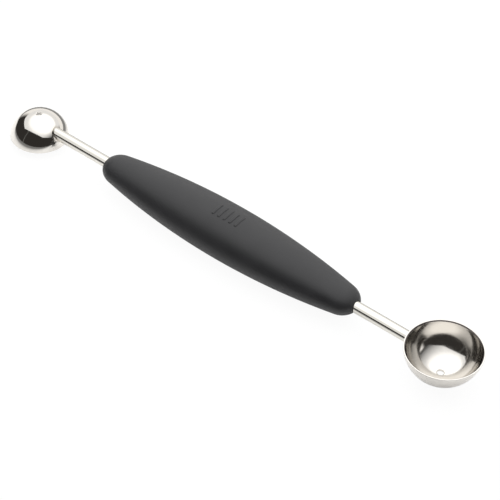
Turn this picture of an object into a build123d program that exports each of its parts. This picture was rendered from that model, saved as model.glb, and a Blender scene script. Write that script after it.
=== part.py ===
from build123d import *
import math
import os

# Double melon baller: a pressed steel bowl on each end of one oval rubber grip.
# X runs along the tool towards the large bowl, Y across it, and Z is up.
# The tool lies on z = 0, with the large bowl open upwards and the small one
# open downwards. The origin is under the middle of the whole length.
# All lengths are in millimetres.

# Bowls, each the cap of a sphere, measured on the outside
bowl_wall = 0.8
rim_edge_round = 0.12
rim_bevel = 0.35
large_bowl_radius = 15.1
large_bowl_depth = 13.35
large_drain_radius = 1.4
small_bowl_radius = 12.2
small_bowl_depth = 10.7
small_drain_radius = 1.2
small_rim_drop = 5.7

# Rods, round outside the grip and flattened to a tang inside it
rod_diameter = 4.7
large_rod_reach = 24.0
small_rod_reach = 25.8
tang_thickness = 2.2
tang_corner = 0.6
tang_spacing = 18.0
shoulder_length = 6.0
rod_seat_length = 12.0
weld_leg = 0.6
weld_root_gap = 0.35

# Rubber grip, an oval spindle with a long belly arc and a rounded nose. Its
# underside is flat where the soft rubber settles on a table.
grip_length = 123.9
grip_width = 24.6
grip_thickness = 18.6
belly_radius = 295.0
nose_radius = 8.3
rubber_wall = 2.6
nose_lip_round = 0.6
rest_flat_depth = 0.25

# Thumb ridges on the middle of the grip's top
ridge_count = 5
ridge_length = 6.4
ridge_width = 1.1
ridge_pitch = 2.7
ridge_rise = 0.3

# Stiff core of two moulded halves that close on the tangs
nose_rubber = 10.5
core_end_round = 1.2
lock_groove_width = 4.0
lock_groove_depth = 0.9
lock_groove_pitch = 29.0
peg_radius = 1.5
peg_rise = 3.6

# Clearances
moulding_gap = 0.05
rod_fit = 0.1
peg_fit = 0.1
peg_place_shares = (0.27, 0.73)

# Heights and section shape
rod_radius = rod_diameter / 2
rod_height = grip_thickness / 2 - rest_flat_depth
grip_flatness = grip_thickness / grip_width
grip_half_length = grip_length / 2
core_half_length = grip_half_length - nose_rubber

# The flattened tang keeps the rod's section area, and both tangs stop short of the grip's middle
tang_width = math.pi * rod_radius**2 / tang_thickness
tang_length = core_half_length - rod_seat_length - shoulder_length - tang_spacing / 2

# Bowl centres in height, and how far each wall stands from its centre at the rods
large_bowl_z = large_bowl_radius
large_wall_offset = math.sqrt(large_bowl_radius**2 - (large_bowl_z - rod_height) ** 2)
small_rim_z = rod_height - small_rim_drop
small_bowl_z = small_rim_z + small_bowl_depth - small_bowl_radius
small_wall_offset = math.sqrt(small_bowl_radius**2 - (small_bowl_z - rod_height) ** 2)


# Widest half breadth of a spherical cap of this depth
def cap_half_breadth(radius, depth):
    below_middle = radius - min(depth, radius)
    return math.sqrt(radius**2 - below_middle**2)


# Places along X: the tips lie equally far from the origin
large_bowl_from_grip = grip_half_length + large_rod_reach + large_wall_offset
small_bowl_from_grip = grip_half_length + small_rod_reach + small_wall_offset
large_tip = large_bowl_from_grip + cap_half_breadth(large_bowl_radius, large_bowl_depth)
small_tip = small_bowl_from_grip + cap_half_breadth(small_bowl_radius, small_bowl_depth)
grip_x = (small_tip - large_tip) / 2
large_bowl_centre = (grip_x + large_bowl_from_grip, 0, large_bowl_z)
small_bowl_centre = (grip_x - small_bowl_from_grip, 0, small_bowl_z)
grip_centre = (grip_x, 0, rod_height)


# Half breadth of a belly arc at a place along it
def belly_half_width(along, half_width, arc_radius):
    return half_width - arc_radius + math.sqrt(arc_radius**2 - along**2)


# Oval spindle about the X axis. The belly arc runs tangent into a nose arc, and
# the turned form is then pressed flatter in Z.
def oval_spindle(half_width):
    nose_centre_x = grip_half_length - nose_radius
    belly_centre_y = half_width - belly_radius
    nose_centre_y = belly_centre_y + math.sqrt((belly_radius - nose_radius) ** 2 - nose_centre_x**2)
    tangent_angle = math.atan2(nose_centre_y - belly_centre_y, nose_centre_x)
    end_drop = (rod_radius - nose_centre_y) / nose_radius
    end_angle = math.asin(end_drop)
    mid_angle = (tangent_angle + end_angle) / 2
    tangent_x = belly_radius * math.cos(tangent_angle)
    tangent_y = belly_centre_y + belly_radius * math.sin(tangent_angle)
    middle_x = nose_centre_x + nose_radius * math.cos(mid_angle)
    middle_y = nose_centre_y + nose_radius * math.sin(mid_angle)
    end_x = nose_centre_x + nose_radius * math.cos(end_angle)
    with BuildPart() as spindle:
        with BuildSketch(Plane.XY):
            with BuildLine():
                ThreePointArc((-tangent_x, tangent_y), (0, half_width), (tangent_x, tangent_y))
                ThreePointArc((tangent_x, tangent_y), (middle_x, middle_y), (end_x, rod_radius))
                Polyline((end_x, rod_radius), (end_x, 0), (-end_x, 0), (-end_x, rod_radius))
                ThreePointArc((-end_x, rod_radius), (-middle_x, middle_y), (-tangent_x, tangent_y))
            make_face()
        revolve(axis=Axis.X)
        scale(by=(1, 1, grip_flatness))
    return spindle.part


# Core form about the X axis, grown by a gap on every face. The grooves keep the
# rubber from sliding along.
def core_form(gap):
    arc_radius = belly_radius - rubber_wall + gap
    half_width = grip_width / 2 - rubber_wall + gap
    half_length = core_half_length + gap
    end_width = belly_half_width(half_length, half_width, arc_radius)
    with BuildPart() as form:
        with BuildSketch(Plane.XY) as outline:
            with BuildLine():
                ThreePointArc((-half_length, end_width), (0, half_width), (half_length, end_width))
                Polyline((half_length, end_width), (half_length, 0), (-half_length, 0), (-half_length, end_width))
            make_face()
            fillet(outline.vertices().group_by(Axis.Y)[-1], radius=core_end_round)
            for step in (-1, 0, 1):
                along = step * lock_groove_pitch
                outside = belly_half_width(along, half_width, arc_radius)
                with Locations((along, outside)):
                    Rectangle(lock_groove_width - 2 * gap, 2 * lock_groove_depth, mode=Mode.SUBTRACT)
        revolve(axis=Axis.X)
        scale(by=(1, 1, grip_flatness))
    return form.part


# Plane square to the rods' axis at a place along X
def rod_plane(along, facing):
    return Plane(origin=(along, 0, rod_height), x_dir=(0, 1, 0), z_dir=(facing, 0, 0))


# Where a shank's round stretch, shoulder and tang begin, going into the grip
def shoulder_x(side):
    return grip_x + side * (core_half_length - rod_seat_length)


def tang_x(side):
    return shoulder_x(side) - side * shoulder_length


def peg_places(side):
    return [(tang_x(side) - side * share * tang_length, 0, rod_height) for share in peg_place_shares]


# Bowl: a shell cut off at the rim and bevelled inside it, with a drain hole in its bottom
def pressed_bowl(centre, radius, drain_radius, rim_z, kept_side):
    with BuildPart() as bowl:
        with Locations(centre):
            Sphere(radius)
            Sphere(radius - bowl_wall, mode=Mode.SUBTRACT)
        split(bisect_by=Plane.XY.offset(rim_z), keep=kept_side)
        with Locations(centre):
            Hole(drain_radius)
        rim_edges = bowl.faces().filter_by(GeomType.PLANE).edges().sort_by(SortBy.RADIUS)
        fillet(rim_edges[-1], radius=rim_edge_round)
        chamfer(rim_edges[0], length=rim_bevel)
    return bowl


# Shank: a round rod that ends just short of the bowl's wall, with its tang forged flat
def forged_shank(side, bowl_centre, bowl_radius):
    bowl_x = bowl_centre[0]
    with BuildPart() as shank:
        with BuildSketch(rod_plane(bowl_x, -side)):
            Circle(rod_radius)
        extrude(amount=abs(bowl_x - shoulder_x(side)))
        with BuildSketch(rod_plane(shoulder_x(side), -side)):
            Circle(rod_radius)
        with BuildSketch(rod_plane(tang_x(side), -side)):
            RectangleRounded(tang_width, tang_thickness, tang_corner)
        loft()
        with BuildSketch(rod_plane(tang_x(side), -side)):
            RectangleRounded(tang_width, tang_thickness, tang_corner)
        extrude(amount=tang_length)
        with Locations(*peg_places(side)):
            Hole(peg_radius + peg_fit)
        with Locations(bowl_centre):
            Sphere(bowl_radius + weld_root_gap, mode=Mode.SUBTRACT)
    return shank


# Weld: filler metal between the rod's end and the bowl, with a fillet round the corner
def corner_weld(side, bowl_centre, bowl_radius, shank):
    weld_reach = bowl_radius + 3 * weld_leg
    with BuildPart() as weld:
        with Locations(bowl_centre):
            Sphere(bowl_radius)
        with BuildSketch(rod_plane(bowl_centre[0], -side)):
            Circle(rod_radius)
        extrude(amount=weld_reach)
        corner = weld.edges().filter_by(GeomType.CIRCLE, reverse=True)
        fillet(corner, radius=weld_leg)
        with Locations(bowl_centre):
            Sphere(bowl_radius, mode=Mode.SUBTRACT)
        add(shank.part, mode=Mode.SUBTRACT)
    return weld


large_bowl = pressed_bowl(
    large_bowl_centre, large_bowl_radius, large_drain_radius, large_bowl_depth, Keep.BOTTOM
)
small_bowl = pressed_bowl(
    small_bowl_centre, small_bowl_radius, small_drain_radius, small_rim_z, Keep.TOP
)
large_shank = forged_shank(1, large_bowl_centre, large_bowl_radius)
small_shank = forged_shank(-1, small_bowl_centre, small_bowl_radius)
large_bowl_weld = corner_weld(1, large_bowl_centre, large_bowl_radius, large_shank)
small_bowl_weld = corner_weld(-1, small_bowl_centre, small_bowl_radius, small_shank)

# Space that both shanks need inside the core
with BuildPart() as tang_space:
    for side in (-1, 1):
        with BuildSketch(rod_plane(shoulder_x(side), side)):
            Circle(rod_radius + rod_fit)
        extrude(amount=rod_seat_length + core_end_round)
        with BuildSketch(rod_plane(shoulder_x(side), -side)):
            Rectangle(tang_width + 2 * rod_fit, rod_diameter + 2 * rod_fit)
        extrude(amount=shoulder_length)
        with BuildSketch(rod_plane(tang_x(side), -side)):
            Rectangle(tang_width + 2 * rod_fit, tang_thickness + 2 * rod_fit)
        extrude(amount=tang_length + rod_fit)

parting_plane = Plane.XY.offset(rod_height)
core_solid = core_form(0)

with BuildPart() as core_lower_half:
    with Locations(grip_centre):
        add(core_solid)
    split(bisect_by=parting_plane, keep=Keep.BOTTOM)
    add(tang_space.part, mode=Mode.SUBTRACT)
    with BuildSketch(Plane.XY.offset(rod_height - tang_thickness / 2 - rod_fit)):
        with Locations(*[(place[0], place[1]) for side in (-1, 1) for place in peg_places(side)]):
            Circle(peg_radius)
    extrude(amount=tang_thickness / 2 + rod_fit + peg_rise)

with BuildPart() as core_upper_half:
    with Locations(grip_centre):
        add(core_solid)
    split(bisect_by=parting_plane, keep=Keep.TOP)
    add(tang_space.part, mode=Mode.SUBTRACT)
    with BuildSketch(parting_plane):
        with Locations(*[(place[0], place[1]) for side in (-1, 1) for place in peg_places(side)]):
            Circle(peg_radius + peg_fit)
    extrude(amount=peg_rise + peg_fit, mode=Mode.SUBTRACT)

grip_form = oval_spindle(grip_width / 2)
ridge_form = oval_spindle(grip_width / 2 + ridge_rise / grip_flatness)
core_cavity = core_form(moulding_gap)

with BuildPart() as thumb_ridges:
    with BuildSketch(parting_plane):
        with Locations((grip_x, 0)):
            with GridLocations(ridge_pitch, ridge_pitch, ridge_count, 1):
                SlotOverall(ridge_length, ridge_width, rotation=90)
    extrude(amount=grip_thickness)
    with Locations(grip_centre):
        add(ridge_form, mode=Mode.INTERSECT)

with BuildPart() as grip_sleeve:
    with Locations(grip_centre):
        add(grip_form)
    add(thumb_ridges.part)
    split(bisect_by=Plane.XY, keep=Keep.TOP)
    with Locations(grip_centre):
        add(core_cavity, mode=Mode.SUBTRACT)
    with BuildSketch(rod_plane(grip_x, 1)):
        Circle(rod_radius + moulding_gap)
    extrude(amount=grip_length, both=True, mode=Mode.SUBTRACT)
    lips = grip_sleeve.edges().sort_by(Axis.X)
    fillet([lips[0], lips[-1]], radius=nose_lip_round)

os.makedirs("parts", exist_ok=True)
pieces = {
    "large_bowl": large_bowl,
    "large_bowl_weld": large_bowl_weld,
    "large_shank": large_shank,
    "small_bowl": small_bowl,
    "small_bowl_weld": small_bowl_weld,
    "small_shank": small_shank,
    "core_upper_half": core_upper_half,
    "core_lower_half": core_lower_half,
    "grip_sleeve": grip_sleeve,
}
for name, piece in pieces.items():
    piece.part.label = name
    export_step(piece.part, f"parts/{name}.step")
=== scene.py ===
import math

import bpy
import numpy as np
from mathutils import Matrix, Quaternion, Vector


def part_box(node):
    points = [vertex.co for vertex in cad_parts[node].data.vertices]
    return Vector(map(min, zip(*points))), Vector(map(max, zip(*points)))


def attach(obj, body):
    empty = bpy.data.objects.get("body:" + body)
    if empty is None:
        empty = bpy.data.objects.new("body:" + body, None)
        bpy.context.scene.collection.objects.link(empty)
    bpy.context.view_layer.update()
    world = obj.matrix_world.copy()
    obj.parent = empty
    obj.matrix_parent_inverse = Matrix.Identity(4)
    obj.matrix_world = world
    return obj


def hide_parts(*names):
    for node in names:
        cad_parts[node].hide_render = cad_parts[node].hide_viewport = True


# Double melon baller: a mirror polished steel bowl on each end of an oval rubber grip.
# X runs along the tool to the large bowl, Z is up, and the tool lies on z = 0.
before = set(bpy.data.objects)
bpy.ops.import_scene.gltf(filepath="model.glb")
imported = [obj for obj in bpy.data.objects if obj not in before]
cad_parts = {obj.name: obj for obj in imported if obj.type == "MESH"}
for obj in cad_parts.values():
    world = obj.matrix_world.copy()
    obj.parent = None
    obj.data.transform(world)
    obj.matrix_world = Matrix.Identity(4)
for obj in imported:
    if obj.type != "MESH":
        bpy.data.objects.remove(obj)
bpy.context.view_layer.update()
mm = 0.001


# Adds one node, sets its properties, and fills its sockets with values or links
def addNode(tree, kind, sockets=None, **settings):
    node = tree.nodes.new(kind)
    for name, value in settings.items():
        setattr(node, name, value)
    for name, value in (sockets or {}).items():
        if isinstance(value, bpy.types.NodeSocket):
            tree.links.new(value, node.inputs[name])
        else:
            node.inputs[name].default_value = value
    return node


# sRGB hex to linear colour: c / 12.92 near black, ((c + 0.055) / 1.055) ^ 2.4 above it
def linearColour(hexValue):
    channels = [int(hexValue[start:start + 2], 16) / 255 for start in (1, 3, 5)]
    linear = [c / 12.92 if c <= 0.04045 else ((c + 0.055) / 1.055) ** 2.4 for c in channels]
    return (*linear, 1.0)


def newMaterial(name):
    material = bpy.data.materials.new(name)
    material.use_nodes = True
    material.node_tree.nodes.clear()
    return material, material.node_tree


# Noise scale that makes one blotch about this many metres across
def scaleFor(size):
    return 1 / size


# Meshes

# Skin over a grid of points, rows by points round. Each row is a closed ring that joins the
# next one. The last row joins the first when wrapped, and otherwise a fan closes each end.
def skin(name, grid, wrapped, material):
    rows, around = grid.shape[:2]
    index = np.arange(rows * around).reshape(rows, around)
    if wrapped:
        index = np.vstack([index, index[:1]])
    beside = np.roll(index, -1, axis=1)
    quads = np.stack([index[:-1], index[1:], beside[1:], beside[:-1]], axis=-1).reshape(-1, 4)
    points = grid.reshape(-1, 3)
    faces = quads.tolist()
    if not wrapped:
        middles = np.array([grid[0].mean(axis=0), grid[-1].mean(axis=0)])
        firstMiddle = len(points)
        points = np.vstack([points, middles])
        faces += [(a, b, firstMiddle) for a, b in zip(index[0], beside[0])]
        faces += [(b, a, firstMiddle + 1) for a, b in zip(index[-1], beside[-1])]
    mesh = bpy.data.meshes.new(name)
    mesh.from_pydata(points.tolist(), [], faces)
    if insideOut(points, quads):
        mesh.flip_normals()
    mesh.polygons.foreach_set("use_smooth", np.ones(len(mesh.polygons), dtype=bool))
    mesh.materials.append(material)
    piece = bpy.data.objects.new(name, mesh)
    bpy.context.scene.collection.objects.link(piece)
    return piece


# The volume under each quad, a sum of triple products, is negative where faces point inwards
def insideOut(points, quads):
    corners = points[quads] - points.mean(axis=0)
    first = np.cross(corners[:, 1], corners[:, 2])
    second = np.cross(corners[:, 2], corners[:, 3])
    return np.einsum("ij,ij->", corners[:, 0], first + second) < 0


# Hides the CAD node the piece replaces and hangs the piece on the root body
def finishPiece(piece, node):
    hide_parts(node)
    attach(piece, "root")


# What the steel finishes share: the noises' detail, and the part of each noise's range that is
# spread over the roughness
steelNoise = {"rippleDetail": 1.0, "buffDetail": 4.0, "buffSoftness": 0.65, "buffFrom": 0.35,
              "buffTo": 0.7, "ringDetail": 3.0, "ringSoftness": 0.6, "ringFrom": 0.35, "ringTo": 0.65}


# Polished stainless: deep drawn, then buffed to a mirror. The eye gets sharp reflections with
# faint buffing haze, and a slow ripple left by the drawing. Inside a bowl the metal was spun
# against a mop, and fine rings round the bowl soften what it mirrors.
def mirrorSteel(name, settings, centre, bevel=None):
    material, tree = newMaterial(name)
    place = addNode(tree, "ShaderNodeTexCoord").outputs["Object"]
    centred = addNode(tree, "ShaderNodeMapping", {"Vector": place, "Location": [-c for c in centre]})
    centred = centred.outputs["Vector"]
    ripple = addNode(tree, "ShaderNodeTexNoise",
                     {"Vector": centred, "Scale": scaleFor(settings["rippleSize"]),
                      "Detail": steelNoise["rippleDetail"]})
    buffing = addNode(tree, "ShaderNodeTexNoise",
                      {"Vector": centred, "Scale": scaleFor(settings["buffSize"]),
                       "Detail": steelNoise["buffDetail"], "Roughness": steelNoise["buffSoftness"]})
    roughness = addNode(tree, "ShaderNodeMapRange",
                        {"Value": buffing.outputs["Fac"], "From Min": steelNoise["buffFrom"],
                         "From Max": steelNoise["buffTo"], "To Min": settings["roughLow"],
                         "To Max": settings["roughHigh"]}).outputs["Result"]
    tint = addNode(tree, "ShaderNodeMix",
                   {"Factor": buffing.outputs["Fac"], "A": linearColour(settings["colour"]),
                    "B": linearColour(settings["hazeColour"])}, data_type="RGBA")
    normal = addNode(tree, "ShaderNodeBump",
                     {"Height": ripple.outputs["Fac"], "Distance": settings["rippleHeight"],
                      "Strength": 1.0}).outputs["Normal"]
    colour = tint.outputs["Result"]
    if bevel is not None:
        roughness, normal = spunInside(tree, settings, centred, bevel["fromCentre"], roughness, normal)
        colour, roughness = groundShadedBevel(tree, settings, centred, bevel, colour, roughness)
    steel = addNode(tree, "ShaderNodeBsdfPrincipled",
                    {"Base Color": colour, "Metallic": 1.0, "Roughness": roughness, "Normal": normal})
    addNode(tree, "ShaderNodeOutputMaterial", {"Surface": steel.outputs["BSDF"]})
    return material


# Rings left by the mop: noise squeezed along the bowl's axis, on the metal nearer the centre
# than the rim's bevel
def spunInside(tree, settings, centred, fromCentre, roughness, normal):
    out = addNode(tree, "ShaderNodeVectorMath", {0: centred}, operation="LENGTH").outputs["Value"]
    inside = addNode(tree, "ShaderNodeMath", {0: out, 1: fromCentre}, operation="LESS_THAN")
    inside = inside.outputs["Value"]
    squeezed = addNode(tree, "ShaderNodeMapping",
                       {"Vector": centred, "Scale": (1, 1, settings["ringSqueeze"])})
    rings = addNode(tree, "ShaderNodeTexNoise",
                    {"Vector": squeezed.outputs["Vector"], "Scale": scaleFor(settings["ringLength"]),
                     "Detail": steelNoise["ringDetail"],
                     "Roughness": steelNoise["ringSoftness"]}).outputs["Fac"]
    ringRough = addNode(tree, "ShaderNodeMapRange",
                        {"Value": rings, "From Min": steelNoise["ringFrom"],
                         "From Max": steelNoise["ringTo"], "To Min": settings["ringRoughLow"],
                         "To Max": settings["ringRoughHigh"]})
    mixed = addNode(tree, "ShaderNodeMix", {"Factor": inside, "A": roughness,
                                            "B": ringRough.outputs["Result"]})
    grooves = addNode(tree, "ShaderNodeBump",
                      {"Height": rings, "Distance": settings["ringDepth"], "Strength": inside,
                       "Normal": normal})
    return mixed.outputs["Result"], grooves.outputs["Normal"]


# The rim's inner bevel is left from grinding, not polished, so it is duller, and its colour is darkened
# as a painted reflection of the dark it mirrors. It lies outside the inner sphere, inside the flat rim's
# edge, and close to the rim's height.
def groundShadedBevel(tree, settings, centred, bevel, colour, roughness):
    fromCentre = addNode(tree, "ShaderNodeVectorMath", {0: centred}, operation="LENGTH")
    beyond = addNode(tree, "ShaderNodeMath",
                     {0: fromCentre.outputs["Value"], 1: bevel["fromCentre"]}, operation="GREATER_THAN")
    inPlan = addNode(tree, "ShaderNodeVectorMath", {0: centred, 1: (1, 1, 0)}, operation="MULTIPLY")
    fromAxis = addNode(tree, "ShaderNodeVectorMath", {0: inPlan.outputs["Vector"]}, operation="LENGTH")
    within = addNode(tree, "ShaderNodeMath",
                     {0: fromAxis.outputs["Value"], 1: bevel["fromAxis"]}, operation="LESS_THAN")
    height = addNode(tree, "ShaderNodeSeparateXYZ", {"Vector": centred}).outputs["Z"]
    level = addNode(tree, "ShaderNodeMath", {0: height, 1: bevel["height"], 2: bowlSizes["bevel"]},
                    operation="COMPARE")
    both = addNode(tree, "ShaderNodeMath",
                   {0: beyond.outputs["Value"], 1: within.outputs["Value"]}, operation="MULTIPLY")
    groundAndShade = addNode(tree, "ShaderNodeMath",
                     {0: both.outputs["Value"], 1: level.outputs["Value"]}, operation="MULTIPLY")
    dulled = addNode(tree, "ShaderNodeMix", {"Factor": groundAndShade.outputs["Value"], "A": roughness,
                                             "B": settings["groundRough"]})
    # Painted dark reflection: the bevel's colour is pulled towards a dark grey
    paintedShade = addNode(tree, "ShaderNodeMix",
                       {"Factor": groundAndShade.outputs["Value"], "A": colour,
                        "B": linearColour(settings["bevelShadeColour"])}, data_type="RGBA")
    return paintedShade.outputs["Result"], dulled.outputs["Result"]


# Bowls. The wall's section is worked out about the sphere's centre, in radius and height:
# outer arc, rounded outer edge, flat rim, inner bevel, inner arc, and the drain hole's wall.
bowlSizes = {"wall": 0.8 * mm, "edgeRound": 0.12 * mm, "bevel": 0.35 * mm, "arcSteps": 72,
             "roundSteps": 7, "holeSteps": 5, "around": 288, "holdShare": 0.012, "evenShare": 0.04,
             "flatShares": (0.06, 0.94, 1.0), "bevelShares": (0.05, 0.95), "groundShadeInset": 0.02 * mm,
             "groundShadeShare": 0.96}
# The bevel colour in this table is a painted dark reflection along the rim's inner bevel
bowlSteel = {"colour": "#DEDBD5", "hazeColour": "#D3CFCA", "roughLow": 0.04, "roughHigh": 0.08,
             "rippleSize": 14 * mm, "rippleHeight": 0.01 * mm, "buffSize": 0.9 * mm,
             "ringLength": 5 * mm, "ringSqueeze": 12.0, "ringDepth": 0.007 * mm,
             "ringRoughLow": 0.08, "ringRoughHigh": 0.14, "bevelShadeColour": "#6A6462",
             "groundRough": 0.22}
largeBowl = {"radius": 15.1 * mm, "depth": 13.35 * mm, "drainRadius": 1.4 * mm, "opens": 1}
smallBowl = {"radius": 12.2 * mm, "depth": 10.7 * mm, "drainRadius": 1.2 * mm, "opens": -1}


# Even steps from first to last, with one more step close to each end to hold the corner
def heldSteps(first, last, count):
    hold, even = bowlSizes["holdShare"], bowlSizes["evenShare"]
    share = np.concatenate([[0, hold], np.linspace(even, 1 - even, count), [1 - hold, 1]])
    return first + (last - first) * share


def bowlSection(bowl):
    outer = bowl["radius"]
    inner = outer - bowlSizes["wall"]
    rimZ = bowl["depth"] - outer
    edgeRound = bowlSizes["edgeRound"]
    edgeZ = rimZ - edgeRound
    edgeR = math.sqrt((outer - edgeRound) ** 2 - edgeZ ** 2)
    edgeTurn = math.atan2(edgeZ, edgeR)
    bevelR = math.sqrt(inner ** 2 - rimZ ** 2) + bowlSizes["bevel"]
    innerTurn = math.asin(rimZ / inner) - bowlSizes["bevel"] / inner
    steps = bowlSizes["arcSteps"]
    outerArc = heldSteps(math.asin(bowl["drainRadius"] / outer) - math.pi / 2, edgeTurn, steps)
    innerArc = heldSteps(innerTurn, math.asin(bowl["drainRadius"] / inner) - math.pi / 2, steps)
    edgeBend = np.linspace(edgeTurn, math.pi / 2, bowlSizes["roundSteps"])[1:]
    flatR = edgeR + (bevelR - edgeR) * np.array(bowlSizes["flatShares"])
    slope = np.array(bowlSizes["bevelShares"])
    bevelOutR = bevelR + (inner * math.cos(innerTurn) - bevelR) * slope
    bevelOutZ = rimZ + (inner * math.sin(innerTurn) - rimZ) * slope
    radii = np.concatenate([
        outer * np.cos(outerArc), edgeR + edgeRound * np.cos(edgeBend), flatR, bevelOutR,
        inner * np.cos(innerArc)])
    heights = np.concatenate([
        outer * np.sin(outerArc), edgeZ + edgeRound * np.sin(edgeBend), np.full_like(flatR, rimZ),
        bevelOutZ, inner * np.sin(innerArc)])
    holeWall = np.linspace(heights[-1], heights[0], bowlSizes["holeSteps"])[1:-1]
    holeR = np.full_like(holeWall, bowl["drainRadius"])
    return np.append(radii, holeR), np.append(heights, holeWall)


# Centre of the bowl's sphere, from its CAD box and the way it opens
def bowlCentre(node, bowl):
    low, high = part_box(node)
    if bowl["opens"] > 0:
        height = high.z - bowl["depth"] + bowl["radius"]
    else:
        height = low.z + bowl["depth"] - bowl["radius"]
    return np.array([(low.x + high.x) / 2, (low.y + high.y) / 2, height])


# The section turned about the bowl's upright axis, height = centre + opens * section height
def buildBowl(name, node, bowl):
    radii, heights = bowlSection(bowl)
    turn = np.linspace(0, 2 * math.pi, bowlSizes["around"], endpoint=False)
    centre = bowlCentre(node, bowl)
    grid = np.stack([
        centre[0] + np.outer(radii, np.cos(turn)),
        centre[1] + np.outer(radii, np.sin(turn)),
        centre[2] + bowl["opens"] * np.outer(heights, np.ones_like(turn))], axis=-1)
    inner = bowl["radius"] - bowlSizes["wall"]
    rimZ = bowl["depth"] - bowl["radius"]
    bevel = {"fromCentre": inner + bowlSizes["groundShadeInset"], "height": bowl["opens"] * rimZ,
             "fromAxis": (math.sqrt(inner ** 2 - rimZ ** 2)
                          + bowlSizes["groundShadeShare"] * bowlSizes["bevel"])}
    steel = mirrorSteel(name + "MirrorSteel", bowlSteel, centre, bevel)
    piece = skin(name, grid, True, steel)
    finishPiece(piece, node)
    return centre


largeCentre = buildBowl("largePolishedBowl", "large_bowl", largeBowl)
smallCentre = buildBowl("smallPolishedBowl", "small_bowl", smallBowl)
print("bowls made")

# Rods. Each runs from the bowl's wall into the grip, where it is forged flat to a tang.
rod = {"radius": 2.35 * mm, "tangThickness": 2.2 * mm, "tangWidth": 7.886 * mm, "tangCorner": 0.6 * mm,
       "tangLength": 24.45 * mm, "shoulderLength": 6.0 * mm, "rootGap": 0.35 * mm, "around": 128,
       "endShares": (0.3, 0.7, 0.97, 1.0), "barShares": (0.02, 0.1, 0.3, 0.5, 0.7, 0.9, 0.99, 1.0),
       "shoulderShares": (0.02, 0.25, 0.5, 0.75, 0.98, 1.0), "tangShares": (0.02, 0.5, 0.98, 1.0)}
weld = {"leg": 0.6 * mm, "rootShares": (0.4, 0.96, 1.0), "filletSteps": 12,
        "bowlShares": (0.97, 0.6, 0.3)}
rodSteel = {"colour": "#DBD8D1", "hazeColour": "#D1CEC7", "roughLow": 0.03, "roughHigh": 0.07,
            "rippleSize": 9 * mm, "rippleHeight": 0.002 * mm, "buffSize": 0.6 * mm}
weldSteel = {"colour": "#DAD6D0", "hazeColour": "#C2BCB4", "roughLow": 0.12, "roughHigh": 0.26,
             "rippleSize": 1.6 * mm, "rippleHeight": 0.03 * mm, "buffSize": 0.4 * mm}


# X on the sphere round a bowl's centre, on the grip's side, above each point (y, z)
def sphereX(side, centre, radius, y, z):
    return centre[0] - side * np.sqrt(radius ** 2 - (y - centre[1]) ** 2 - (z - centre[2]) ** 2)


# Tang outline round the rod's angle: a circle of the corner's radius, pushed out to the four
# corners of the inner rectangle
def tangOutline(turn):
    corner = rod["tangCorner"]
    halfWidth = rod["tangWidth"] / 2 - corner
    halfThickness = rod["tangThickness"] / 2 - corner
    y = np.clip(rod["tangWidth"] * np.cos(turn), -halfWidth, halfWidth) + corner * np.cos(turn)
    z = np.clip(rod["tangWidth"] * np.sin(turn), -halfThickness, halfThickness) + corner * np.sin(turn)
    return y, z


# Rings from the bowl's end to the tang's end. The end face lies on a sphere round the bowl,
# and the shoulder blends the circle into the tang in straight steps.
def buildRod(name, node, side, centre, bowl):
    low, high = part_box(node)
    height = (low.z + high.z) / 2
    tangEnd = low.x if side > 0 else high.x
    tangStart = tangEnd + side * rod["tangLength"]
    shoulder = tangStart + side * rod["shoulderLength"]
    turn = np.linspace(0, 2 * math.pi, rod["around"], endpoint=False)
    roundY = rod["radius"] * np.cos(turn)
    roundZ = rod["radius"] * np.sin(turn)
    endRadius = bowl["radius"] + rod["rootGap"]
    rings = []
    for share in rod["endShares"]:
        x = sphereX(side, centre, endRadius, share * roundY, height + share * roundZ)
        rings.append(np.stack([x, share * roundY, height + share * roundZ], axis=-1))
    endX = rings[-1][:, 0]
    for share in rod["barShares"]:
        rings.append(np.stack([endX + share * (shoulder - endX), roundY, height + roundZ], axis=-1))
    tangY, tangZ = tangOutline(turn)
    for share in rod["shoulderShares"]:
        x = np.full_like(turn, shoulder + share * (tangStart - shoulder))
        y = roundY + share * (tangY - roundY)
        rings.append(np.stack([x, y, height + roundZ + share * (tangZ - roundZ)], axis=-1))
    for share in rod["tangShares"]:
        x = np.full_like(turn, tangStart + share * (tangEnd - tangStart))
        rings.append(np.stack([x, tangY, height + tangZ], axis=-1))
    material = mirrorSteel(name + "PolishedSteel", rodSteel, (shoulder, 0, height))
    piece = skin(name, np.array(rings), False, material)
    finishPiece(piece, node)
    return height


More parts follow.
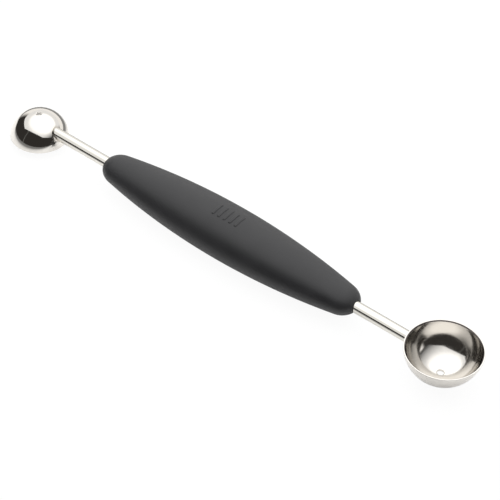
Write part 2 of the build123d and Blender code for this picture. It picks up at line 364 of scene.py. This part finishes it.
# Weld between a rod and its bowl. A ball of the leg's radius rolls round the corner: its centre
# stays one leg outside the rod and the bowl, and its near arc is the fillet. Behind the fillet
# the metal follows the bowl's sphere and the rod's end.
def buildWeld(name, node, side, centre, bowl, height):
    leg = weld["leg"]
    turn = np.linspace(0, 2 * math.pi, rod["around"], endpoint=False)
    outY, outZ = np.cos(turn), np.sin(turn)
    ballY = (rod["radius"] + leg) * outY
    ballZ = height + (rod["radius"] + leg) * outZ
    ball = np.stack([sphereX(side, centre, bowl["radius"] + leg, ballY, ballZ), ballY, ballZ], axis=-1)
    toRod = np.stack([np.zeros_like(turn), -outY, -outZ], axis=-1)
    toBowl = (centre - ball) / np.linalg.norm(centre - ball, axis=1)[:, None]
    opening = np.arccos(np.clip((toRod * toBowl).sum(axis=1), -1, 1))[:, None]
    rings = []
    endRadius = bowl["radius"] + rod["rootGap"]
    for share in weld["rootShares"]:
        y, z = share * rod["radius"] * outY, height + share * rod["radius"] * outZ
        rings.append(np.stack([sphereX(side, centre, endRadius, y, z), y, z], axis=-1))
    for share in np.linspace(0, 1, weld["filletSteps"]):
        arc = (np.sin((1 - share) * opening) * toRod + np.sin(share * opening) * toBowl) / np.sin(opening)
        rings.append(ball + leg * arc)
    contact = rings[-1]
    for share in weld["bowlShares"]:
        y, z = share * contact[:, 1], height + share * (contact[:, 2] - height)
        rings.append(np.stack([sphereX(side, centre, bowl["radius"], y, z), y, z], axis=-1))
    material = mirrorSteel(name + "GroundWeld", weldSteel, (centre[0], 0, height))
    finishPiece(skin(name, np.array(rings), False, material), node)


rodHeight = buildRod("largeRod", "large_shank", 1, largeCentre, largeBowl)
buildRod("smallRod", "small_shank", -1, smallCentre, smallBowl)
buildWeld("largeWeld", "large_bowl_weld", 1, largeCentre, largeBowl, rodHeight)
buildWeld("smallWeld", "small_bowl_weld", -1, smallCentre, smallBowl, rodHeight)
print("rods and welds made")

# Grip. Its half section, along X and out from X, is a long belly arc that runs tangent into a
# nose arc. The turned form is flattened in Z, so a ray at angle t from Y is shortened by
# 1 / sqrt(cos(t)^2 + (sin(t) / flatness)^2).
grip = {"length": 123.9 * mm, "width": 24.6 * mm, "thickness": 18.6 * mm, "bellyRadius": 295.0 * mm,
        "noseRadius": 8.3 * mm, "boreRadius": 2.4 * mm, "lipRound": 0.6 * mm, "wall": 2.55 * mm,
        "noseRubber": 10.45 * mm, "ridges": 5, "ridgeLength": 6.4 * mm, "ridgeWidth": 1.1 * mm,
        "ridgePitch": 2.7 * mm, "ridgeRise": 0.3 * mm, "ridgeEdge": 0.24 * mm}
gripMesh = {"ridgeRows": 96, "bellyRows": 70, "noseRows": 40, "lipRows": 9, "lipReach": 1.2,
            "boreShares": (0.5, 0.98, 1.0), "seatShares": (0.02, 0.98), "seatRows": 24,
            "topDegrees": 28, "topPoints": 80, "otherPoints": 124}
gripRubber = {"colour": "#222224", "wornColour": "#2B2B2D", "grainSize": 0.32 * mm,
              "grainDetail": 2.0, "grainSoftness": 0.7, "grainHeight": 0.02 * mm, "patchSize": 9 * mm,
              "patchDetail": 3.0, "patchFrom": 0.3, "patchTo": 0.7, "roughLow": 0.46, "roughHigh": 0.54,
              "index": 1.5, "sheen": 0.08, "sheenRough": 0.5}


# Soft thermoplastic rubber, moulded in a spark eroded tool. The eye gets a matt charcoal skin
# with a fine even grain, and a broad soft light along the top.
def mouldedRubber(name, settings):
    material, tree = newMaterial(name)
    place = addNode(tree, "ShaderNodeTexCoord").outputs["Object"]
    patches = addNode(tree, "ShaderNodeTexNoise",
                      {"Vector": place, "Scale": scaleFor(settings["patchSize"]),
                       "Detail": settings["patchDetail"]})
    grain = addNode(tree, "ShaderNodeTexNoise",
                    {"Vector": place, "Scale": scaleFor(settings["grainSize"]),
                     "Detail": settings["grainDetail"], "Roughness": settings["grainSoftness"]})
    colour = addNode(tree, "ShaderNodeMix",
                     {"Factor": patches.outputs["Fac"], "A": linearColour(settings["colour"]),
                      "B": linearColour(settings["wornColour"])}, data_type="RGBA")
    matt = addNode(tree, "ShaderNodeMapRange",
                   {"Value": patches.outputs["Fac"], "From Min": settings["patchFrom"],
                    "From Max": settings["patchTo"], "To Min": settings["roughLow"],
                    "To Max": settings["roughHigh"]})
    bump = addNode(tree, "ShaderNodeBump",
                   {"Height": grain.outputs["Fac"], "Distance": settings["grainHeight"], "Strength": 1.0})
    rubber = addNode(tree, "ShaderNodeBsdfPrincipled",
                     {"Base Color": colour.outputs["Result"], "Roughness": matt.outputs["Result"],
                      "IOR": settings["index"], "Sheen Weight": settings["sheen"],
                      "Sheen Roughness": settings["sheenRough"], "Normal": bump.outputs["Normal"]})
    addNode(tree, "ShaderNodeOutputMaterial", {"Surface": rubber.outputs["BSDF"]})
    return material


# Height of the thumb ridges over the grip's outer skin. Each is a slot across the grip with
# round ends, full inside and falling to nothing over the edge's width.
def ridgeHeight(x, y):
    height = np.zeros_like(x)
    halfLine = (grip["ridgeLength"] - grip["ridgeWidth"]) / 2
    for number in range(grip["ridges"]):
        ridgeX = (number - (grip["ridges"] - 1) / 2) * grip["ridgePitch"]
        beyond = np.maximum(np.abs(y) - halfLine, 0)
        outside = np.hypot(x - ridgeX, beyond) - grip["ridgeWidth"] / 2
        rise = np.clip(0.5 - outside / grip["ridgeEdge"], 0, 1)
        height = np.maximum(height, grip["ridgeRise"] * rise ** 2 * (3 - 2 * rise))
    return height


# One side of the grip's wall as rows of (x, distance from the axis), for each angle round it:
# belly, nose, a curved lip that turns into the bore, the bore, and the core's seat
def gripSide(shorten):
    halfLength = grip["length"] / 2
    noseX = halfLength - grip["noseRadius"]
    bellyY = grip["width"] / 2 - grip["bellyRadius"]
    noseY = bellyY + math.sqrt((grip["bellyRadius"] - grip["noseRadius"]) ** 2 - noseX ** 2)
    tangent = math.atan2(noseY - bellyY, noseX)
    bellyEnd = grip["bellyRadius"] * math.cos(tangent)
    ridgeZone = grip["ridges"] * grip["ridgePitch"] / 2 + grip["ridgeWidth"]
    bellyX = np.concatenate([np.linspace(0, ridgeZone, gripMesh["ridgeRows"]),
                             np.linspace(ridgeZone, bellyEnd, gripMesh["bellyRows"])[1:]])
    flat = np.ones_like(shorten)
    alongX = [x * flat for x in bellyX]
    outward = [(bellyY + math.sqrt(grip["bellyRadius"] ** 2 - x ** 2)) * shorten for x in bellyX]
    lipTop = grip["boreRadius"] + grip["lipRound"]
    lipAngle = np.arcsin((lipTop / shorten - noseY) / grip["noseRadius"])
    for share in np.linspace(0, 1, gripMesh["noseRows"])[1:]:
        angle = tangent + share * (lipAngle - tangent)
        alongX.append(noseX + grip["noseRadius"] * np.cos(angle))
        outward.append((noseY + grip["noseRadius"] * np.sin(angle)) * shorten)
    lipX = alongX[-1]
    cornerX = lipX + grip["lipRound"] * np.tan(lipAngle) / shorten
    innerX = cornerX - gripMesh["lipReach"] * grip["lipRound"]
    for share in np.linspace(0, 1, gripMesh["lipRows"])[1:]:
        left = 1 - share
        alongX.append(left ** 2 * lipX + 2 * share * left * cornerX + share ** 2 * innerX)
        outward.append((left ** 2 * lipTop + (1 - left ** 2) * grip["boreRadius"]) * flat)
    seatEnd = halfLength - grip["noseRubber"]
    seatRadius = grip["bellyRadius"] - grip["wall"]
    for share in gripMesh["boreShares"]:
        alongX.append(innerX + share * (seatEnd - innerX))
        outward.append(grip["boreRadius"] * flat)
    seatY = bellyY + math.sqrt(seatRadius ** 2 - seatEnd ** 2)
    for share in gripMesh["seatShares"]:
        alongX.append(seatEnd * flat)
        outward.append(grip["boreRadius"] + share * (seatY * shorten - grip["boreRadius"]))
    for x in np.linspace(seatEnd, 0, gripMesh["seatRows"]):
        alongX.append(x * flat)
        outward.append((bellyY + math.sqrt(seatRadius ** 2 - x ** 2)) * shorten)
    return np.array(alongX), np.array(outward)


# The wall turned round the grip's axis, with more points on top to hold the ridges. The other
# end mirrors the first, and the underside is cut flat where the grip rests.
def buildGrip(name, node):
    low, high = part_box(node)
    middleX = (low.x + high.x) / 2
    flatness = grip["thickness"] / grip["width"]
    topFrom = math.pi / 2 - math.radians(gripMesh["topDegrees"])
    topTo = math.pi / 2 + math.radians(gripMesh["topDegrees"])
    turn = np.concatenate([
        np.linspace(topFrom, topTo, gripMesh["topPoints"], endpoint=False),
        np.linspace(topTo, topFrom + 2 * math.pi, gripMesh["otherPoints"], endpoint=False)])
    shorten = 1 / np.sqrt(np.cos(turn) ** 2 + (np.sin(turn) / flatness) ** 2)
    sideX, sideOut = gripSide(shorten)
    alongX = np.vstack([sideX, -sideX[-2:0:-1]])
    outward = np.vstack([sideOut, sideOut[-2:0:-1]])
    y = outward * np.cos(turn)
    z = outward * np.sin(turn)
    onTop = z > (grip["thickness"] - grip["wall"]) / 2
    z = z + np.where(onTop, ridgeHeight(alongX, y), 0)
    z = np.maximum(z + rodHeight, low.z)
    grid = np.stack([middleX + alongX, y, z], axis=-1)
    piece = skin(name, grid, True, mouldedRubber("mouldedRubber", gripRubber))
    finishPiece(piece, node)


buildGrip("rubberGrip", "grip_sleeve")
print("grip made")


# Polypropylene, moulded. It is stiff, matt and black, and shows only where the grip is cut.
core = {"colour": "#1B1B1C", "speckColour": "#2A2A2B", "speckSize": 0.5 * mm, "speckDetail": 3.0,
        "rough": 0.55}


def mouldedPlastic(name, settings):
    material, tree = newMaterial(name)
    place = addNode(tree, "ShaderNodeTexCoord").outputs["Object"]
    specks = addNode(tree, "ShaderNodeTexNoise",
                     {"Vector": place, "Scale": scaleFor(settings["speckSize"]),
                      "Detail": settings["speckDetail"]})
    colour = addNode(tree, "ShaderNodeMix",
                     {"Factor": specks.outputs["Fac"], "A": linearColour(settings["colour"]),
                      "B": linearColour(settings["speckColour"])}, data_type="RGBA")
    plastic = addNode(tree, "ShaderNodeBsdfPrincipled",
                      {"Base Color": colour.outputs["Result"], "Roughness": settings["rough"]})
    addNode(tree, "ShaderNodeOutputMaterial", {"Surface": plastic.outputs["BSDF"]})
    return material


corePlastic = mouldedPlastic("mouldedPolypropylene", core)
for node in ("core_upper_half", "core_lower_half"):
    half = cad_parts[node]
    half.data.materials.clear()
    half.data.materials.append(corePlastic)
print("core finished")

# Studio: a white table and back wall under one large white panel, in a dark room. The panel's
# height and its outline in plan are worked back from what the two bowls mirror. The panel's
# middle and corners are in millimetres.
# The table's near and far whites and its steel glow paint a pool of light that only reflections see
studio = {"tableSize": 6.0, "tableGap": 0.02 * mm, "tableGlow": 0.94, "tableShade": "#525252",
          "nearWhite": 0.9, "farWhite": 0.2, "nearBand": 12 * mm, "farBand": 50 * mm, "steelGlow": 0.32,
          "background": "#FFFFFF", "wall": "#FFFDFA", "room": "#32302E", "roomGlow": 1.2,
          "wallStart": 0.15, "wallFull": 0.45}
panel = {"height": 300 * mm, "middle": (-60, 120), "middleGlow": 1.8, "glow": 1.1,
         "middleEdge": 200 * mm, "glowEdge": 400 * mm, "fadeStart": 150 * mm, "fadeEnd": 620 * mm,
         "fadeLow": 0.04,
         "corners": ((-390, -272), (240, -225), (620, 40), (620, 1000), (-900, 1000), (-640, 22))}
stand = {"place": (-305 * mm, -520 * mm), "radius": 11 * mm, "height": 900 * mm, "sides": 16,
         "colour": "#747472"}
rodSoftbox = {"place": (-0.3, -0.47, 0.4225), "width": 0.62, "height": 0.485, "power": 1.0}


# White where the camera looks, straight or through a clear piece. The steel mirrors the white
# wall behind and the dark room in front: the share of wall grows with the direction's Y.
def buildRoom():
    world = bpy.data.worlds.new("photoRoom")
    world.use_nodes = True
    tree = world.node_tree
    tree.nodes.clear()
    path = addNode(tree, "ShaderNodeLightPath")
    direction = addNode(tree, "ShaderNodeTexCoord").outputs["Generated"]
    parts = addNode(tree, "ShaderNodeSeparateXYZ", {"Vector": direction})
    wall = addNode(tree, "ShaderNodeMapRange",
                   {"Value": parts.outputs["Y"], "From Min": studio["wallStart"],
                    "From Max": studio["wallFull"]}, interpolation_type="SMOOTHSTEP").outputs["Result"]
    room = addNode(tree, "ShaderNodeMix",
                   {"Factor": wall, "A": linearColour(studio["room"]), "B": linearColour(studio["wall"])},
                   data_type="RGBA").outputs["Result"]
    straight = addNode(tree, "ShaderNodeMath",
                       {0: path.outputs["Is Camera Ray"], 1: path.outputs["Is Transmission Ray"]},
                       operation="MAXIMUM").outputs["Value"]
    seen = addNode(tree, "ShaderNodeMix",
                   {"Factor": straight, "A": room, "B": linearColour(studio["background"])},
                   data_type="RGBA").outputs["Result"]
    light = addNode(tree, "ShaderNodeBackground", {"Color": seen, "Strength": studio["roomGlow"]})
    addNode(tree, "ShaderNodeOutputWorld", {"Surface": light.outputs["Background"]})
    bpy.context.scene.world = world


# Adds a plain mesh of the studio, hidden from the camera or not
def stagePiece(name, points, faces, material, hidden):
    mesh = bpy.data.meshes.new(name)
    mesh.from_pydata(points, [], faces)
    mesh.materials.append(material)
    piece = bpy.data.objects.new(name, mesh)
    piece.visible_camera = not hidden
    bpy.context.scene.collection.objects.link(piece)


# White laminate table. Seen directly it glows to white and keeps the tool's shadow. In the steel it shows
# a painted pool of light, white along the tool and greying away from it as under a small lamp, with a
# painted glow seen in reflections only.
def buildTable():
    material, tree = newMaterial("whiteLaminate")
    path = addNode(tree, "ShaderNodeLightPath")
    seen = addNode(tree, "ShaderNodeMath",
                   {0: path.outputs["Is Camera Ray"], 1: path.outputs["Is Transmission Ray"]},
                   operation="MAXIMUM")
    place = addNode(tree, "ShaderNodeTexCoord").outputs["Object"]
    parts = addNode(tree, "ShaderNodeSeparateXYZ", {"Vector": place})
    away = addNode(tree, "ShaderNodeMath", {0: parts.outputs["Y"]}, operation="ABSOLUTE")
    white = addNode(tree, "ShaderNodeMapRange",
                    {"Value": away.outputs["Value"], "From Min": studio["nearBand"],
                     "From Max": studio["farBand"], "To Min": studio["nearWhite"],
                     "To Max": studio["farWhite"]}, interpolation_type="SMOOTHSTEP")
    inSteel = addNode(tree, "ShaderNodeMix",
                      {"Factor": path.outputs["Is Glossy Ray"], "A": studio["nearWhite"],
                       "B": white.outputs["Result"]})
    flat = addNode(tree, "ShaderNodeBsdfDiffuse", {"Color": inSteel.outputs["Result"]})
    paintedGlow = addNode(tree, "ShaderNodeMath",
                   {0: white.outputs["Result"], 1: studio["steelGlow"]}, operation="MULTIPLY")
    paintedGlow = addNode(tree, "ShaderNodeMath",
                   {0: paintedGlow.outputs["Value"], 1: path.outputs["Is Glossy Ray"]}, operation="MULTIPLY")
    paintedGlow = addNode(tree, "ShaderNodeEmission", {"Strength": paintedGlow.outputs["Value"]})
    paint = addNode(tree, "ShaderNodeAddShader", {0: flat.outputs["BSDF"], 1: paintedGlow.outputs["Emission"]})
    shade = addNode(tree, "ShaderNodeBsdfDiffuse", {"Color": linearColour(studio["tableShade"])})
    glow = addNode(tree, "ShaderNodeEmission", {"Strength": studio["tableGlow"]})
    bright = addNode(tree, "ShaderNodeAddShader", {0: shade.outputs["BSDF"], 1: glow.outputs["Emission"]})
    mixed = addNode(tree, "ShaderNodeMixShader",
                    {0: seen.outputs["Value"], 1: paint.outputs["Shader"], 2: bright.outputs["Shader"]})
    addNode(tree, "ShaderNodeOutputMaterial", {"Surface": mixed.outputs["Shader"]})
    half = studio["tableSize"] / 2
    under = -studio["tableGap"]
    corners = [(-half, -half, under), (half, -half, under), (half, half, under), (-half, half, under)]
    stagePiece("table", corners, [(0, 1, 2, 3)], material, False)


# Diffusing cloth over a lamp: brightest under the lamp, and fading out towards its right end
def buildPanel():
    material, tree = newMaterial("diffusingCloth")
    place = addNode(tree, "ShaderNodeTexCoord").outputs["Object"]
    parts = addNode(tree, "ShaderNodeSeparateXYZ", {"Vector": place})
    lamp = (panel["middle"][0] * mm, panel["middle"][1] * mm, panel["height"])
    away = addNode(tree, "ShaderNodeVectorMath", {0: place, 1: lamp}, operation="DISTANCE")
    cloth = addNode(tree, "ShaderNodeMapRange",
                    {"Value": away.outputs["Value"], "From Min": panel["middleEdge"],
                     "From Max": panel["glowEdge"], "To Min": panel["middleGlow"],
                     "To Max": panel["glow"]}, interpolation_type="SMOOTHSTEP")
    fade = addNode(tree, "ShaderNodeMapRange",
                   {"Value": parts.outputs["X"], "From Min": panel["fadeStart"],
                    "From Max": panel["fadeEnd"], "To Min": 1.0, "To Max": panel["fadeLow"]},
                   interpolation_type="SMOOTHSTEP")
    strength = addNode(tree, "ShaderNodeMath",
                       {0: cloth.outputs["Result"], 1: fade.outputs["Result"]}, operation="MULTIPLY")
    light = addNode(tree, "ShaderNodeEmission", {"Strength": strength.outputs["Value"]})
    addNode(tree, "ShaderNodeOutputMaterial", {"Surface": light.outputs["Emission"]})
    corners = [(x * mm, y * mm, panel["height"]) for x, y in panel["corners"]]
    stagePiece("lightPanel", corners, [tuple(range(len(corners)))], material, True)


# Lamp stand in front of the tool: a plain pole given a painted grey glow in place of being lit, seen only
# as a thin streak in the small bowl
def buildStand():
    material, tree = newMaterial("greyGlowingPole")
    paint = addNode(tree, "ShaderNodeEmission", {"Color": linearColour(stand["colour"])})
    addNode(tree, "ShaderNodeOutputMaterial", {"Surface": paint.outputs["Emission"]})
    count = stand["sides"]
    turn = np.linspace(0, 2 * math.pi, count, endpoint=False)
    x = stand["place"][0] + stand["radius"] * np.cos(turn)
    y = stand["place"][1] + stand["radius"] * np.sin(turn)
    points = [(a, b, z) for z in (0, stand["height"]) for a, b in zip(x, y)]
    sides = [(k, (k + 1) % count, (k + 1) % count + count, k + count) for k in range(count)]
    stagePiece("lampStand", points, sides, material, True)


# Softbox that lights the rods alone, in front of the tool and facing it, where they mirror it
def buildRodSoftbox():
    light = bpy.data.lights.new("rodSoftbox", "AREA")
    light.shape = "RECTANGLE"
    light.size = rodSoftbox["width"]
    light.size_y = rodSoftbox["height"]
    light.energy = rodSoftbox["power"]
    softbox = bpy.data.objects.new("rodSoftbox", light)
    softbox.location = rodSoftbox["place"]
    softbox.rotation_euler = Vector((0, 1, 0)).to_track_quat("-Z", "Y").to_euler()
    softbox.visible_camera = False
    bpy.context.scene.collection.objects.link(softbox)
    lit = bpy.data.collections.new("litByRodSoftbox")
    for name in ("largeRod", "smallRod"):
        lit.objects.link(bpy.data.objects[name])
    softbox.light_linking.receiver_collection = lit


buildRoom()
buildTable()
buildPanel()
buildStand()
buildRodSoftbox()
print("studio made")

# Camera: a long lens from above the front right, rolled a little
camera = {"lens": 139.58, "sensor": 36.0, "place": (316.99 * mm, -427.89 * mm, 526.77 * mm),
          "aim": (9.86 * mm, -2.0 * mm, 9.05 * mm), "rollDegrees": 3.324}


def buildCamera():
    data = bpy.data.cameras.new("camera")
    data.lens = camera["lens"]
    data.sensor_width = camera["sensor"]
    eye = bpy.data.objects.new("camera", data)
    eye.location = camera["place"]
    level = (Vector(camera["aim"]) - eye.location).to_track_quat("-Z", "Y")
    roll = Quaternion((0, 0, 1), math.radians(camera["rollDegrees"]))
    eye.rotation_euler = (level @ roll).to_euler()
    bpy.context.scene.collection.objects.link(eye)
    bpy.context.scene.camera = eye


buildCamera()
bpy.context.scene.view_settings.view_transform = "Standard"
print("camera set")
